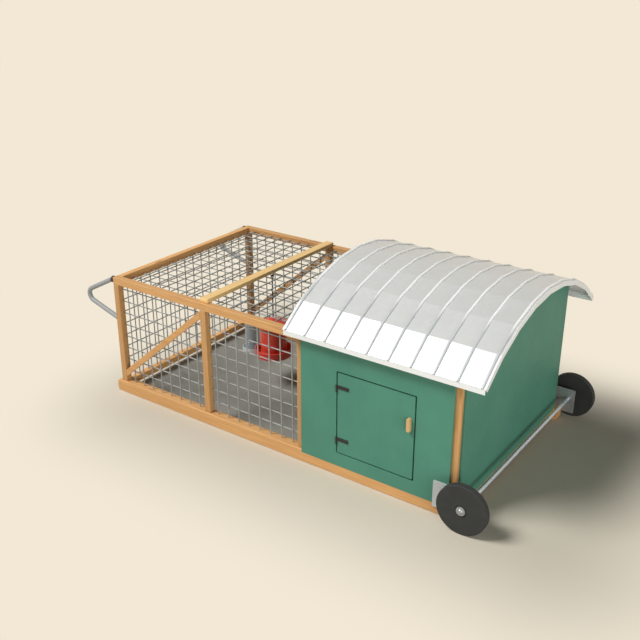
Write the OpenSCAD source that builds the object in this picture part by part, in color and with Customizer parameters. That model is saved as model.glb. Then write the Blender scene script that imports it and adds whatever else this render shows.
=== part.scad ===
// Chicken tractor: a movable mesh run with a wheeled, arched-roof coop at one end.
// Millimetres. X runs from the lifting handles to the wheels, Y across, Z up from the ground.
// The origin is the middle of the footprint, on the ground.

/* [Ground frame] */
// Length of each skid
skid_length = 2366; // [2000:1:2800]
// Width over the outer faces of both skids
frame_width = 1266; // [1000:1:1500]
// Thickness of a skid, across the run
skid_width = 62; // [54:1:80]
// Height of a skid
skid_height = 73; // [60:1:90]
// Rounding of a skid's long edges
skid_round = 6; // [2:0.5:9]
// Rounding of a skid's two ends, seen from the side
skid_end_round = 16; // [8:1:28]
// Height of the cross sills between the skids
sill_height = 40; // [30:1:50]

/* [Timber frame] */
// Width of the posts and rails
timber = 40; // [34:1:48]
// Height of the top rails
rail_height = 44; // [36:1:56]
// Height of the rails' top faces above the ground
rail_top = 750; // [650:1:850]
// Rounding of the long timber edges
timber_round = 3; // [1:0.5:6]
// Gap left between two pieces that are butted but not joined
joint_gap = 0.3; // [0.2:0.1:0.6]
// Distance of the corner posts from the skid ends
end_set_back = 30; // [20:1:60]
// Distance from the skid ends to the middle posts
mid_post_start = 714; // [600:1:800]
// Width of the flat batten across the middle of the run
batten_width = 58; // [48:1:76]
// Thickness of that batten
batten_thick = 22; // [18:1:30]
// Distance of the batten's ends from the skid faces
batten_inset = 28; // [16:1:36]
// Height of a brace's foot above the skid
brace_foot = 32; // [20:1:80]
// Height of a brace's upright end cut
brace_cut = 46; // [36:1:70]
// Thickness of a brace
brace_thick = 16; // [12:0.5:18]
// Gap between a brace's head and the top rail
brace_head_gap = 7; // [2:1:30]

/* [Wire mesh] */
// Pitch of the welded mesh
mesh_pitch = 76; // [60:1:100]
// Thickness of a mesh wire
wire = 7; // [3:0.5:8]
// Height of the lowest mesh wire above the skid
mesh_lift = 71; // [10:1:90]
// Clearance between the mesh and a brace
mesh_gap = 1; // [0.5:0.1:2]
// Clearance between the two layers of wires
layer_gap = 0.1; // [0.05:0.05:0.3]

/* [Coop walls] */
// Length of the coop over its posts
coop_length = 945; // [880:1:1020]
// Distance of the coop's rear posts from the skids' rear ends
rear_set_back = 40; // [26:1:116]
// Thickness of the painted panels
panel_thick = 12; // [9:0.5:15]
// Depth of the seat that each skid has for its side panel
panel_seat = 16; // [10:1:24]
// Width of post left showing beside a side panel
post_reveal = 34; // [20:1:36]
// Distance of the rear panel's sides from the skid faces
rear_inset = 28; // [13:0.5:36]
// Rounding of the panel corners
panel_round = 6; // [3:1:12]
// Gap between the panels' top edges and the roof sheet
roof_gap = 1; // [0.5:0.1:3]
// Thickness of the coop floor
floor_thick = 12; // [9:0.5:18]
// Width of the doorway between the coop and the run
pop_width = 300; // [240:1:360]
// Height of that doorway
pop_height = 360; // [300:1:420]
// Height of its sill above the coop floor
pop_lift = 40; // [20:1:80]
// Side of the square perch
perch_size = 40; // [34:1:50]
// Rounding of the perch's edges
perch_round = 9; // [5:0.5:14]
// Height of the perch's underside above the ground
perch_height = 330; // [260:1:420]
// Distance of the perch from the back of the rear posts
perch_back = 160; // [90:1:164]

/* [Ground mat] */
// Thickness of the mat on the ground inside the run
mat_thick = 3; // [2:0.5:5]
// Gap between the mat and the skids and coop beside it
mat_gap = 4; // [2:0.5:10]
// Rounding of the mat's corners
mat_round = 12; // [5:1:30]
// Length of mat tucked under the run's end sill
mat_tuck = 34; // [10:1:38]

/* [Side door] */
// Distance of the door opening from the coop's front posts
door_start = 256; // [200:1:300]
// Width of the door opening
door_width = 460; // [400:1:480]
// Height of the door opening's lower edge above the ground
door_base = 134; // [126:1:160]
// Height of the door opening
door_height = 473; // [400:1:520]
// Gap around the door
door_gap = 8; // [6:0.5:10]
// Rounding of the door's corners
door_round = 3; // [2:0.5:12]
// Width of the door stops behind the opening
stop_width = 40; // [32:1:44]
// Thickness of the door stops
stop_thick = 20; // [14:1:26]
// Width of stop that shows in the opening
stop_lap = 16; // [13:0.5:18]
// Distance of each hinge from the top or bottom of the opening
hinge_inset = 86; // [60:1:140]
// Length of a hinge strap from its pin
strap_length = 72; // [50:1:110]
// Width of a hinge strap
strap_width = 20; // [16:1:28]
// Thickness of a hinge strap
strap_thick = 3; // [2:0.5:3.5]
// Diameter of a hinge pin
pin_diameter = 6; // [4:0.5:6.5]
// Diameter of the strap's eye
eye_diameter = 10; // [9:0.5:10.5]
// Distance of the hinge pin in front of the panel
pin_reach = 4; // [3.5:0.5:5]
// Height of the bracket below each strap
pintle_height = 20; // [14:1:30]
// Gap between a strap and its bracket
strap_gap = 0.5; // [0.3:0.1:1]
// Width of the wooden pull
pull_width = 21; // [18:1:30]
// Length of the wooden pull
pull_length = 75; // [60:1:110]
// Thickness of the wooden pull
pull_thick = 18; // [16:1:26]
// Gap behind the pull
pull_gap = 1; // [0.5:0.1:2]
// Distance of the pull's middle from the door's edge
pull_edge = 24; // [20:1:40]
// Height of the pull's middle above the opening's lower edge
pull_rise = 313; // [150:1:340]
// Diameter of the spindle through the door
spindle_diameter = 10; // [8:0.5:12]
// Length of the spindle inside the pull
spindle_seat = 14; // [8:1:15]
// Width of the tongue that turns behind the stop
tongue_width = 18; // [14:1:20]
// Length of the tongue
tongue_length = 90; // [80:1:110]
// Thickness of the tongue
tongue_thick = 4; // [3:0.5:6]
// Gap between the tongue and the stop
tongue_gap = 1; // [0.5:0.1:2]

/* [Roof] */
// Height of the roof sheet's eaves above the ground
eave_height = 771; // [760:1:820]
// Height of the roof sheet's ridge above the ground
ridge_height = 1030; // [980:1:1100]
// Reach of the eaves past the skid faces
eave_reach = 43; // [30:1:70]
// Reach of the roof past the coop's front posts
roof_front_reach = 48; // [20:1:90]
// Reach of the roof past the back of the rear posts
roof_rear_reach = 133; // [60:1:160]
// Number of flat facets across the roof
facets = 8; // [6:2:12]
// Thickness of the roof sheet
sheet_thick = 3; // [2:0.5:4]
// Number of standing seams
seam_count = 10; // [7:1:12]
// Width of a seam
seam_width = 12; // [6:0.5:16]
// Height of a seam
seam_height = 7; // [5:0.5:14]
// Distance of the first and last seams from the roof's ends
seam_margin = 18; // [12:1:40]
// Depth of the trim on the roof's two arched ends
verge_depth = 26; // [16:1:40]
// Depth of the trim along the eaves
eave_depth = 27; // [16:1:40]
// Thickness of the roof trim
trim_thick = 4; // [3:0.5:6]
// Width of the eave trim's flange under the sheet
trim_lap = 22; // [14:1:30]
// Width of a roof purlin
purlin_width = 40; // [30:1:50]
// Depth of a roof purlin
purlin_depth = 34; // [24:1:44]

/* [Running gear] */
// Diameter of the wheels
wheel_diameter = 264; // [220:1:300]
// Width of the wheels
wheel_width = 36; // [28:1:44]
// Bevel on the wheels' rims
wheel_bevel = 2; // [1:0.5:6]
// Depth of the shallow hub recess in each wheel face
hub_recess = 2; // [1:0.5:4]
// Diameter of that recess
hub_recess_diameter = 60; // [54:1:80]
// Distance of the axle behind the skid ends
axle_reach = 34; // [28:1:60]
// Diameter of the axle
axle_diameter = 21; // [14:0.5:22]
// Length of an axle plate
plate_length = 227; // [200:1:260]
// Height of an axle plate
plate_height = 147; // [130:1:170]
// Height of an axle plate's lower edge above the ground
plate_base = 43; // [38:1:50]
// Length of plate behind the axle
plate_nose = 38; // [24:1:50]
// Thickness of an axle plate
plate_thick = 8; // [5:0.5:10]
// Rounding of an axle plate's corners
plate_round = 6; // [3:1:12]
// Diameter of a plate bolt's head
bolt_head_diameter = 16; // [12:0.5:20]
// Height of a plate bolt's head
bolt_head_height = 6; // [4:0.5:10]
// Length of the spacer tube between a plate and its wheel
spacer_length = 36; // [20:1:44]
// Diameter of that tube
spacer_diameter = 30; // [24:1:40]
// Diameter of the cap flange outside each wheel
cap_flange_diameter = 47; // [40:1:52]
// Thickness of the cap flange
cap_flange_thick = 5; // [3:0.5:8]
// Diameter of the domed middle of the cap
cap_diameter = 28; // [26:1:32]
// Height of that dome
cap_dome = 10; // [6:0.5:11]
// End play of each wheel on each side
end_play = 0.5; // [0.3:0.1:1]
// Clearance around a turning or sliding shaft
running_fit = 0.05; // [0.03:0.01:0.09]

/* [Lifting handles] */
// Diameter of the handle tube
tube_diameter = 28; // [20:0.5:30]
// Wall of the handle tube
tube_wall = 2.5; // [1.5:0.5:4]
// Reach of the point where the two arms would meet, past the posts
handle_reach = 312; // [260:0.5:360]
// Height of that point above the ground
handle_height = 577; // [545:1:610]
// Height of the lower arm's foot on the post
handle_foot = 480; // [430:1:500]
// Diameter of the elbow that joins the two arms
elbow_diameter = 30; // [22:0.5:32]
// Length of each arm inside the elbow
elbow_entry = 3; // [2:0.5:4]
// Radius of the elbow's bend
bend_radius = 42; // [24:0.5:56]
// Diameter of the flange on each rail end
flange_diameter = 40; // [34:1:40]
// Thickness of that flange
flange_thick = 24; // [10:1:30]

/* [Feeder] */
// Height of the tray's underside above the ground
tray_base = 205; // [180:1:240]
// Diameter of the tray
tray_diameter = 230; // [200:1:260]
// Height of the tray's rim
tray_height = 45; // [35:1:60]
// Wall of the feeder's mouldings
feeder_wall = 3; // [2:0.5:4]
// Diameter of the hopper
hopper_diameter = 160; // [130:1:180]
// Height of the hopper
hopper_height = 185; // [150:1:220]
// Gap under the hopper that the feed runs through
feed_gap = 17; // [12:1:24]
// Diameter of the three feet that carry the hopper
foot_diameter = 9; // [7:0.5:14]
// Diameter of the lid
lid_diameter = 190; // [174:1:210]
// Depth of the lid's skirt
lid_skirt = 12; // [8:1:20]
// Height of the lid above the hopper's rim
lid_rise = 40; // [25:1:60]
// Diameter of the lid's collar
lid_collar = 28; // [22:1:36]
// Clearance between the skirt and the hopper
lid_play = 3; // [2:0.5:5]
// Diameter of the hanging rod
rod_diameter = 8; // [6:0.5:10]
// Diameter of the plate under the tray
rod_plate_diameter = 26; // [20:1:40]
// Thickness of that plate
rod_plate_thick = 5; // [3:0.5:8]
// Radius of the screw eye's ring
ring_radius = 12; // [12:0.5:14]
// Thickness of the screw eye's wire
ring_wire = 5; // [4:0.5:5]
// Length of screw eye between the batten and its ring
eye_drop = 8; // [6:0.5:14]
// Length of the screw eye inside the batten
eye_depth = 16; // [10:1:18]
// Radius of the rod's loop
loop_radius = 10; // [9:0.5:10]
// Thickness of the loop's wire
loop_wire = 7; // [5:0.5:7]
// Gap between the loop and the screw eye
hang_gap = 0.8; // [0.7:0.1:1]

/* [Drinker] */
// Distance of the drinker from the skid ends
drinker_start = 316; // [250:1:450]
// Distance of the drinker from the far skid face
drinker_side = 340; // [266:1:466]
// Diameter of the drinker's dish
dish_diameter = 134; // [125:1:160]
// Height of the dish
dish_height = 30; // [24:1:40]
// Diameter of the drinker's can
can_diameter = 97; // [85:1:105]
// Height of the drinker
drinker_height = 240; // [200:1:270]
// Wall of the drinker's sheet metal
drinker_wall = 2; // [1.5:0.5:3]
// Rounding of the can's shoulder
can_round = 14; // [8:1:20]

/* [Hidden] */
// Smoothness of round faces and of rounded timber edges
$fn = 64;
arc_steps = 3;
wire_sides = 6;
tab_angles = [30, 150, 270];
// Overcut of a cutting shape past the face that it opens
overcut = 1;

// Heights shared by the timber frame
mid_y = frame_width / 2;
rail_base = rail_top - rail_height;
rail_mid = rail_base + rail_height / 2;
coop_rear = skid_length - rear_set_back;
coop_front = coop_rear - coop_length;
post_back = panel_thick + timber;
floor_top = skid_height + floor_thick;
mid_post_end = mid_post_start + timber;
corner_post_end = end_set_back + timber;
mat_start = corner_post_end - mat_tuck;
rear_post_start = coop_rear - timber;

// Roof arc through both eaves and the ridge
roof_half = mid_y + eave_reach;
roof_rise = ridge_height - eave_height;
roof_radius = (roof_half * roof_half + roof_rise * roof_rise) / (2 * roof_rise);
roof_centre = ridge_height - roof_radius;
roof_angle = asin(roof_half / roof_radius);
sheet_under = roof_radius - sheet_thick;
roof_start = coop_front - roof_front_reach;
roof_end = coop_rear + roof_rear_reach;
facet_angle = 2 * roof_angle / facets;
seam_pitch = (roof_end - roof_start - 2 * seam_margin) / (seam_count - 1);

// Panels and door opening
panel_start = coop_front + post_reveal;
panel_end = coop_rear - post_reveal;
panel_base = skid_height - panel_seat;
panel_top = lookup(mid_y, arc_heights(sheet_under)) - roof_gap;
front_panel_start = coop_front + timber;
open_start = coop_front + door_start;
open_end = open_start + door_width;
open_top = door_base + door_height;
pin_x = open_start + door_gap / 2;
hinge_heights = [door_base + hinge_inset, open_top - hinge_inset];
pull_x = open_end - door_gap - pull_edge;
pull_z = door_base + pull_rise;
tongue_y = panel_thick + stop_thick + tongue_gap;
perch_x = coop_rear - perch_back - perch_size;

// Running gear, from the plate's outer face outwards
axle_x = skid_length + axle_reach;
axle_z = wheel_diameter / 2;
wheel_in = plate_thick + spacer_length + end_play;
wheel_out = wheel_in + wheel_width;
cap_in = wheel_out + end_play;
plate_start = axle_x + plate_nose - plate_length;
bolt_spots = [
    [skid_length - skid_end_round - bolt_head_diameter, (plate_base + skid_height) / 2],
    [skid_length - skid_end_round - 3 * bolt_head_diameter, (plate_base + skid_height) / 2],
    [rear_post_start + timber / 2, plate_base + plate_height - bolt_head_diameter],
];

// Lifting handle: two arms, the angles that they rise at, and the bend between them
handle_y = panel_thick + timber / 2;
arm_start = end_set_back - handle_reach;
upper_end = end_set_back - flange_thick;
upper_angle = atan2(rail_mid - handle_height, upper_end - arm_start);
lower_angle = atan2(handle_foot - handle_height, end_set_back - arm_start);
half_angle = (upper_angle - lower_angle) / 2;
bisector = (upper_angle + lower_angle) / 2;
arm_skip = bend_radius / tan(half_angle);
bend_x = arm_start + bend_radius / sin(half_angle) * cos(bisector);
bend_z = handle_height + bend_radius / sin(half_angle) * sin(bisector);
upper_length = (upper_end - arm_start) / cos(upper_angle) - arm_skip;
lower_length = (end_set_back - arm_start) / cos(lower_angle) - arm_skip;

// Feeder
feeder_x = mid_post_start + timber / 2;
hopper_base = tray_base + feeder_wall + feed_gap;
hopper_top = hopper_base + hopper_height;
rod_hole = rod_diameter / 2 + running_fit;
ring_z = rail_top - eye_drop - ring_radius;
swing_z = ring_z - ring_radius;
loop_z = swing_z + ring_wire / 2 + hang_gap + loop_wire / 2 - loop_radius;

// Drinker
drinker_y = frame_width - drinker_side;

// The middle of the footprint, between the handles' bend and the wheels' backs
front_limit = bend_x - bend_radius - elbow_diameter / 2;
rear_limit = max(axle_x + wheel_diameter / 2, roof_end);
mid_x = (front_limit + rear_limit) / 2;

// Colours
mat_grey = [0.5, 0.5, 0.48];
pine = [0.84, 0.63, 0.39];
pale_pine = [0.91, 0.74, 0.47];
green = [0.34, 0.56, 0.46];
dark_green = [0.17, 0.34, 0.27];
zinc = [0.56, 0.58, 0.58];
roof_grey = [0.81, 0.83, 0.83];
rubber = [0.16, 0.16, 0.16];
black = [0.1, 0.1, 0.1];
red = [0.8, 0.2, 0.16];

// Helpers: points and placing

// Points of a quarter arc about (x, y), from angle a
function quarter(x, y, r, a) =
    [for (i = [0 : arc_steps]) [x + r * cos(a + 90 * i / arc_steps), y + r * sin(a + 90 * i / arc_steps)]];

// Outline of a rectangle with rounded corners, its lower left corner at the origin
function rounded(w, h, r) = concat(
    quarter(w - r, h - r, r, 0),
    quarter(r, h - r, r, 90),
    quarter(r, r, r, 180),
    quarter(w - r, r, r, 270)
);

// Points of the roof's arc at radius r, as [distance from the middle, height]
function arc_points(r) =
    [for (i = [0 : facets]) let (a = roof_angle - i * facet_angle) [r * sin(a), roof_centre + r * cos(a)]];

// The same arc's heights by distance from the middle, lowest distance first
function arc_heights(r) = [for (i = [facets : -1 : 0]) arc_points(r)[i]];

// Outline between two radii of the roof's arc
function arc_band(outer, inner) = concat(arc_points(outer), arc_heights(inner));

// Places for an even number of wires at the mesh pitch, centred between two ends
function wire_spots(start, end) =
    let (count = 2 * floor((end - start) / mesh_pitch / 2 + 0.5))
    [for (i = [0 : count - 1]) (start + end) / 2 + (i - (count - 1) / 2) * mesh_pitch];

// Heights of the mesh wires on the walls of the run
wire_rows = [for (z = [skid_height + mesh_lift : mesh_pitch : rail_base - wire]) z];

module placed() {
    translate([-mid_x, -mid_y, 0]) children();
}

module far_side() {
    translate([0, frame_width, 0]) mirror([0, 1, 0]) children();
}

module both_sides() {
    children();
    far_side() children();
}

// Prism along X of a flat shape drawn in Y and Z
module along_x(start, end) {
    translate([start, 0, 0]) rotate([90, 0, 90]) linear_extrude(end - start) children();
}

// Prism along Y of a flat shape drawn in X and Z
module along_y(start, end) {
    translate([0, end, 0]) rotate([90, 0, 0]) linear_extrude(end - start) children();
}

module bar_x(start, end, y, z, w, h, r) {
    along_x(start, end) translate([y, z]) polygon(rounded(w, h, r));
}

module bar_y(start, end, x, z, w, h, r) {
    along_y(start, end) translate([x, z]) polygon(rounded(w, h, r));
}

module bar_z(start, end, x, y, w, d, r) {
    translate([x, y, start]) linear_extrude(end - start) polygon(rounded(w, d, r));
}

// Round bar along Y
module round_y(start, end, x, z, d) {
    translate([x, end, z]) rotate([90, 0, 0]) cylinder(d = d, h = end - start);
}

module wire_x(start, end, y, z) {
    translate([start, y, z]) rotate([0, 90, 0]) cylinder(d = wire, h = end - start, $fn = wire_sides);
}

module wire_y(start, end, x, z) {
    translate([x, end, z]) rotate([90, 0, 0]) cylinder(d = wire, h = end - start, $fn = wire_sides);
}

module wire_z(start, end, x, y) {
    translate([x, y, start]) cylinder(d = wire, h = end - start, $fn = wire_sides);
}

// Ground frame

// A skid has a seat cut along its outer top edge for the side panel
module skid() {
    difference() {
        intersection() {
            bar_x(0, skid_length, 0, 0, skid_width, skid_height, skid_round);
            along_y(0, skid_width) polygon(rounded(skid_length, skid_height, skid_end_round));
        }
        translate([panel_start, -overcut, panel_base])
            cube([panel_end - panel_start, panel_thick + overcut, panel_seat + overcut]);
    }
}

module near_skid() {
    color(pine) placed() skid();
}

module far_skid() {
    color(pine) placed() far_side() skid();
}

module sill(x) {
    bar_y(
        skid_width, frame_width - skid_width,
        x, skid_height - sill_height, timber, sill_height, timber_round
    );
}

module run_end_sill() {
    color(pine) placed() sill(end_set_back);
}

module coop_front_sill() {
    color(pine) placed() sill(coop_front);
}

module coop_rear_sill() {
    color(pine) placed() sill(rear_post_start);
}

// Posts and rails

module post(x) {
    bar_z(skid_height, rail_base, x, panel_thick, timber, timber, timber_round);
}

module near_corner_post() {
    color(pine) placed() post(end_set_back);
}

module far_corner_post() {
    color(pine) placed() far_side() post(end_set_back);
}

module near_mid_post() {
    color(pine) placed() post(mid_post_start);
}

module far_mid_post() {
    color(pine) placed() far_side() post(mid_post_start);
}

module near_coop_post() {
    color(pine) placed() post(coop_front);
}

module far_coop_post() {
    color(pine) placed() far_side() post(coop_front);
}

module near_rear_post() {
    color(pine) placed() post(rear_post_start);
}

module far_rear_post() {
    color(pine) placed() far_side() post(rear_post_start);
}

module top_rail() {
    bar_x(end_set_back, coop_rear, panel_thick, rail_base, timber, rail_height, timber_round);
}

module near_top_rail() {
    color(pine) placed() top_rail();
}

module far_top_rail() {
    color(pine) placed() far_side() top_rail();
}

module cross_rail(x) {
    bar_y(post_back, frame_width - post_back, x, rail_base, timber, rail_height, timber_round);
}

module run_end_rail() {
    color(pine) placed() cross_rail(end_set_back);
}

module coop_front_rail() {
    color(pine) placed() cross_rail(coop_front);
}

module coop_rear_rail() {
    color(pine) placed() cross_rail(rear_post_start);
}

// The flat batten over the middle posts, bored for the feeder's screw eye
module cross_batten() {
    color(pale_pine) placed() difference() {
        bar_y(
            batten_inset, frame_width - batten_inset,
            feeder_x - batten_width / 2, rail_top, batten_width, batten_thick, timber_round
        );
        translate([feeder_x, mid_y, rail_top - overcut])
            cylinder(d = ring_wire + 2 * running_fit, h = eye_depth + overcut);
    }
}

// A brace rises from the corner post's foot to the middle post's head
module brace() {
    foot = skid_height + brace_foot;
    head = rail_base - brace_head_gap - brace_cut;
    along_y(panel_thick, panel_thick + brace_thick) polygon([
        [corner_post_end, foot],
        [mid_post_start, head],
        [mid_post_start, head + brace_cut],
        [corner_post_end, foot + brace_cut],
    ]);
}

module near_brace() {
    color(pine) placed() brace();
}

module far_brace() {
    color(pine) placed() far_side() brace();
}

// Wire mesh, with upright wires in one layer and level wires in another

module side_mesh() {
    outer_y = panel_thick + brace_thick + mesh_gap + wire / 2;
    inner_y = outer_y + wire + layer_gap;
    for (bay = [[corner_post_end, mid_post_start], [mid_post_end, coop_front]]) {
        for (x = wire_spots(bay[0], bay[1])) wire_z(skid_height, rail_base, x, outer_y);
        for (z = wire_rows) wire_x(bay[0], bay[1], inner_y, z);
    }
}

module near_mesh() {
    color(zinc) placed() side_mesh();
}

module far_mesh() {
    color(zinc) placed() far_side() side_mesh();
}

module end_mesh() {
    outer_x = end_set_back + timber / 2;
    inner_x = outer_x + wire + layer_gap;
    color(zinc) placed() {
        for (y = wire_spots(post_back, frame_width - post_back)) wire_z(skid_height, rail_base, outer_x, y);
        for (z = wire_rows) wire_y(post_back, frame_width - post_back, inner_x, z);
    }
}

module top_mesh() {
    under_z = rail_mid - wire - layer_gap;
    color(zinc) placed() {
        for (y = wire_spots(post_back, frame_width - post_back))
            wire_x(corner_post_end, coop_front, y, under_z);
        for (bay = [[corner_post_end, mid_post_start], [mid_post_end, coop_front]])
            for (x = wire_spots(bay[0], bay[1])) wire_y(post_back, frame_width - post_back, x, rail_mid);
    }
}

// Ground mat, lying loose inside the run
module run_mat() {
    length = coop_front - mat_gap - mat_start;
    width = frame_width - 2 * skid_width - 2 * mat_gap;
    color(mat_grey) placed() translate([mat_start, skid_width + mat_gap, 0])
        linear_extrude(mat_thick) polygon(rounded(length, width, mat_round));
}

// Coop walls and floor

module side_outline() {
    translate([panel_start, panel_base])
        polygon(rounded(panel_end - panel_start, panel_top - panel_base, panel_round));
}

module near_side_panel() {
    color(green) placed() along_y(0, panel_thick) difference() {
        side_outline();
        translate([open_start, door_base]) polygon(rounded(door_width, door_height, door_round));
    }
}

module far_side_panel() {
    color(green) placed() far_side() along_y(0, panel_thick) side_outline();
}

// Flat shape under the roof sheet, drawn in Y and Z
module under_roof() {
    points = arc_points(sheet_under - roof_gap);
    corners = [[points[facets][0], 0], [points[0][0], 0]];
    translate([mid_y, 0]) polygon(concat(points, corners));
}

// The rear panel stands behind the rear posts, over the skids
module rear_panel() {
    color(green) placed() along_x(coop_rear, coop_rear + panel_thick) difference() {
        intersection() {
            under_roof();
            translate([rear_inset, panel_base]) square([frame_width - 2 * rear_inset, ridge_height]);
        }
        square([skid_width, skid_height]);
        translate([frame_width - skid_width, 0]) square([skid_width, skid_height]);
    }
}

// Board of the front wall beside the doorway, cut round a top rail and the floor, drawn in Y and Z
module front_side_board() {
    difference() {
        intersection() {
            under_roof();
            translate([panel_thick, skid_height])
                square([mid_y - pop_width / 2 - panel_thick, ridge_height]);
        }
        translate([0, rail_base]) square([post_back, rail_height]);
        translate([post_back, skid_height]) square([mid_y, floor_thick]);
    }
}

// The front wall parts the coop from the run: a board on each side of the doorway, one above and one below
module front_panel() {
    width = pop_width - 2 * joint_gap;
    pop_base = floor_top + pop_lift;
    color(green) placed() along_x(front_panel_start, front_panel_start + panel_thick) {
        front_side_board();
        translate([frame_width, 0]) mirror([1, 0]) front_side_board();
        translate([mid_y - width / 2, floor_top]) square([width, pop_lift]);
        intersection() {
            under_roof();
            translate([mid_y - width / 2, pop_base + pop_height]) square([width, ridge_height]);
        }
    }
}

module coop_floor() {
    color(pale_pine) placed() translate([coop_front, post_back, skid_height])
        cube([coop_rear - coop_front, frame_width - 2 * post_back, floor_thick]);
}

module perch() {
    color(pine) placed() bar_y(
        panel_thick, frame_width - panel_thick,
        perch_x, perch_height, perch_size, perch_size, perch_round
    );
}

// Roof

// Two purlins on each slope lie flat against the sheet, between the front and rear panels
module roof_purlins() {
    flat_under = sheet_under * cos(facet_angle / 2);
    color(pine) placed() along_x(front_panel_start + panel_thick, coop_rear)
        for (side = [-1, 1], step = [0.5, 2.5])
            translate([mid_y, roof_centre]) rotate(side * step * facet_angle)
                translate([-purlin_width / 2, flat_under - purlin_depth])
                    square([purlin_width, purlin_depth]);
}

module roof_sheet() {
    color(roof_grey) placed() along_x(roof_start + trim_thick, roof_end - trim_thick)
        translate([mid_y, 0]) polygon(arc_band(roof_radius, sheet_under));
}

module roof_seams() {
    color(roof_grey) placed() for (i = [0 : seam_count - 1]) {
        seam_x = roof_start + seam_margin + i * seam_pitch;
        along_x(seam_x - seam_width / 2, seam_x + seam_width / 2)
            translate([mid_y, 0]) polygon(arc_band(roof_radius + seam_height, roof_radius));
    }
}

// An eave trim hangs from a flange under the sheet's edge
module eave_trim() {
    edge = arc_points(sheet_under)[0];
    slope = roof_angle - facet_angle / 2;
    lap = [edge[0] - trim_lap * cos(slope), edge[1] + trim_lap * sin(slope)];
    inner = edge[0] - trim_thick;
    along_x(roof_start + trim_thick + joint_gap, roof_end - trim_thick - joint_gap)
        translate([mid_y, 0]) polygon([
            edge,
            lap,
            [lap[0] - trim_thick * sin(slope), lap[1] - trim_thick * cos(slope)],
            [inner, edge[1] + trim_thick * tan(slope) - trim_thick / cos(slope)],
            [inner, edge[1] - eave_depth],
            [edge[0], edge[1] - eave_depth],
        ]);
}

module roof_trims() {
    color(roof_grey) placed() {
        both_sides() eave_trim();
        for (x = [roof_start, roof_end - trim_thick])
            along_x(x, x + trim_thick)
                translate([mid_y, 0]) polygon(arc_band(roof_radius, roof_radius - verge_depth));
    }
}

// Side door

// Four stops behind the opening close the gap around the door
module door_stops() {
    margin = stop_width - stop_lap;
    color(dark_green) placed() {
        for (z = [door_base - margin, open_top - stop_lap])
            translate([open_start - margin, panel_thick, z])
                cube([door_width + 2 * margin, stop_thick, stop_width]);
        for (x = [open_start - margin, open_end - stop_lap])
            translate([x, panel_thick, door_base + stop_lap + joint_gap])
                cube([stop_width, stop_thick, door_height - 2 * stop_lap - 2 * joint_gap]);
    }
}

module door_panel() {
    color(green) placed() difference() {
        along_y(0, panel_thick) translate([open_start + door_gap, door_base + door_gap])
            polygon(rounded(door_width - 2 * door_gap, door_height - 2 * door_gap, door_round));
        round_y(-overcut, panel_thick + overcut, pull_x, pull_z, spindle_diameter + 2 * running_fit);
    }
}

// A strap lies on the door and ends in an eye around the pin
module hinge_straps() {
    color(black) placed() for (z = hinge_heights) translate([pin_x, -pin_reach, z - strap_width / 2])
        difference() {
            union() {
                cylinder(d = eye_diameter, h = strap_width);
                translate([0, pin_reach - strap_thick, 0]) cube([strap_length, strap_thick, strap_width]);
            }
            translate([0, 0, -overcut])
                cylinder(d = pin_diameter + 2 * running_fit, h = strap_width + 2 * overcut);
        }
}

// A pintle is a bracket in the gap that holds the pin
module hinge_pintles() {
    collar = eye_diameter - 2 * strap_gap;
    color(black) placed() for (z = hinge_heights) translate([pin_x, -pin_reach, z - strap_width / 2]) {
        translate([0, 0, -pintle_height]) cylinder(d = pin_diameter, h = pintle_height + strap_width);
        translate([0, 0, -pintle_height]) cylinder(d = collar, h = pintle_height - strap_gap);
        translate([-door_gap / 2, 0, -pintle_height])
            cube([door_gap - 2 * strap_gap, pin_reach + panel_thick, pintle_height - strap_gap]);
    }
}

module door_pull() {
    color(pale_pine) placed() difference() {
        along_y(-pull_gap - pull_thick, -pull_gap)
            translate([pull_x - pull_width / 2, pull_z - pull_length / 2])
                polygon(rounded(pull_width, pull_length, pull_width / 2));
        round_y(-pull_gap - spindle_seat, 0, pull_x, pull_z, spindle_diameter + 2 * running_fit);
    }
}

// The pull's spindle carries a tongue that turns behind the stop
module latch_tongue() {
    color(zinc) placed() {
        round_y(-pull_gap - spindle_seat, tongue_y + tongue_thick / 2, pull_x, pull_z, spindle_diameter);
        along_y(tongue_y, tongue_y + tongue_thick)
            translate([pull_x - tongue_width / 2, pull_z - tongue_length / 2])
                polygon(rounded(tongue_width, tongue_length, tongue_width / 2));
    }
}

// Running gear

module axle_plate() {
    difference() {
        along_y(-plate_thick, 0) translate([plate_start, plate_base])
            polygon(rounded(plate_length, plate_height, plate_round));
        round_y(-plate_thick - overcut, overcut, axle_x, axle_z, axle_diameter + 2 * running_fit);
    }
}

module near_axle_plate() {
    color(zinc) placed() axle_plate();
}

module far_axle_plate() {
    color(zinc) placed() far_side() axle_plate();
}

module plate_bolts() {
    color(zinc) placed() both_sides() for (spot = bolt_spots)
        round_y(-plate_thick - bolt_head_height, -plate_thick, spot[0], spot[1], bolt_head_diameter);
}

module axle() {
    tip = cap_in + cap_flange_thick;
    color(zinc) placed() round_y(-tip, frame_width + tip, axle_x, axle_z, axle_diameter);
}

module axle_spacers() {
    color(zinc) placed() both_sides() difference() {
        round_y(-plate_thick - spacer_length, -plate_thick, axle_x, axle_z, spacer_diameter);
        round_y(
            -plate_thick - spacer_length - overcut, -plate_thick + overcut,
            axle_x, axle_z, axle_diameter + 2 * running_fit
        );
    }
}

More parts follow.
